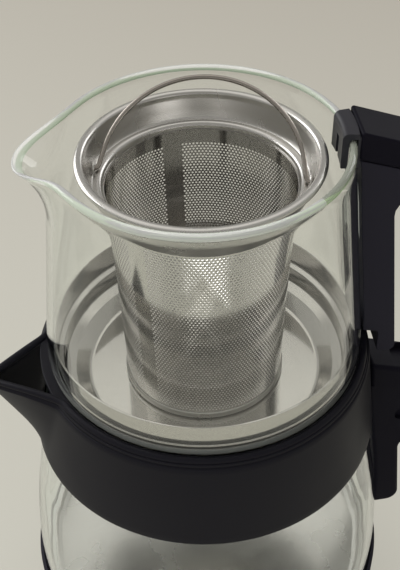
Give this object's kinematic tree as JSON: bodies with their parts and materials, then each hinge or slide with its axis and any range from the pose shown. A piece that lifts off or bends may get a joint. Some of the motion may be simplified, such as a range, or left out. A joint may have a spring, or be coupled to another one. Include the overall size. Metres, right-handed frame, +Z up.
{
  "type": "automatic tea maker",
  "caption": "Tea maker with a glass kettle on a round base, a glass teapot nested on the kettle's collar, and a lift-out perforated steel infuser with a folding bail.",
  "frame": {"origin": "on the table under the axis shared by the base, the kettle and the teapot", "axes": "+Z up, +X towards the handles, -X along the spouts, -Y towards the controls"},
  "size_m": [0.238, 0.2095, 0.3012],
  "materials": {
    "black_plastic": "fine satin black",
    "collar_plastic": "fine satin black",
    "clip_plastic": "satin dark grey",
    "grey_plastic": "plain",
    "button_plastic": "soft gloss",
    "light_plastic": "milky",
    "board": "solder resist",
    "rubber": "matt",
    "seal_rubber": "translucent silicone",
    "clear_glass": "clear, polished",
    "pan_steel": "polished",
    "plate_steel": "brushed",
    "infuser_steel": "polished, perforated",
    "wire_steel": "drawn wire",
    "screw_steel": "plain",
    "contact_brass": "plain"
  },
  "bodies": {
    "power_base": {"base_shell": "black_plastic", "base_cover": "black_plastic", "rubber_feet": "rubber", "base_screws": "screw_steel", "cord_gland": "black_plastic", "base_connector": "grey_plastic", "base_contacts": "contact_brass", "control_board": "board", "tact_switches": "grey_plastic", "light_strip": "light_plastic"},
    "button_boil": {"button_boil": "button_plastic"},
    "button_brew": {"button_brew": "button_plastic"},
    "button_keep_warm": {"button_keep_warm": "button_plastic"},
    "kettle": {"kettle_glass": "clear_glass", "kettle_housing": "black_plastic", "heater_plate": "plate_steel", "heater_gasket": "seal_rubber", "heating_element": "plate_steel", "thermostat": "grey_plastic", "kettle_socket": "grey_plastic", "socket_contacts": "contact_brass", "kettle_cover": "black_plastic", "kettle_screws": "screw_steel", "kettle_collar": "collar_plastic", "collar_seal": "seal_rubber", "kettle_handle_body": "black_plastic", "kettle_handle_cap": "black_plastic", "kettle_handle_screws": "screw_steel"},
    "pot": {"pot_glass": "clear_glass", "pot_base_pan": "pan_steel", "pot_base_seal": "seal_rubber", "pot_handle_body": "black_plastic", "pot_handle_cap": "black_plastic", "pot_rim_clip": "clip_plastic", "pot_handle_screws": "screw_steel", "pot_handle_pad": "seal_rubber"},
    "infuser": {"infuser_rim": "infuser_steel", "infuser_cup": "infuser_steel", "infuser_base": "infuser_steel", "bail_lugs": "infuser_steel"},
    "bail": {"bail_wire": "wire_steel"}
  },
  "joints": [
    {"name": "kettle_lift", "type": "slide", "parent": "power_base", "child": "kettle", "axis": [0, 0, 1], "range_m": [0, 0.04]},
    {"name": "pot_lift", "type": "slide", "parent": "kettle", "child": "pot", "axis": [0, 0, 1], "range_m": [0, 0.04]},
    {"name": "infuser_lift", "type": "slide", "parent": "pot", "child": "infuser", "axis": [0, 0, 1], "range_m": [0, 0.125]},
    {"name": "bail_swing", "type": "hinge", "parent": "infuser", "child": "bail", "pos_m": [0, 0, 0.2766], "axis": [0.9563, -0.2924, 0], "range_deg": [-33, 137]},
    {"name": "button_boil_press", "type": "slide", "parent": "power_base", "child": "button_boil", "axis": [0, 0.3122, -0.95], "range_m": [0, 0.0012], "stiffness_N_per_m": 400},
    {"name": "button_brew_press", "type": "slide", "parent": "power_base", "child": "button_brew", "axis": [0, 0.3122, -0.95], "range_m": [0, 0.0012], "stiffness_N_per_m": 400},
    {"name": "button_keep_warm_press", "type": "slide", "parent": "power_base", "child": "button_keep_warm", "axis": [0, 0.3122, -0.95], "range_m": [0, 0.0012], "stiffness_N_per_m": 400}
  ]
}
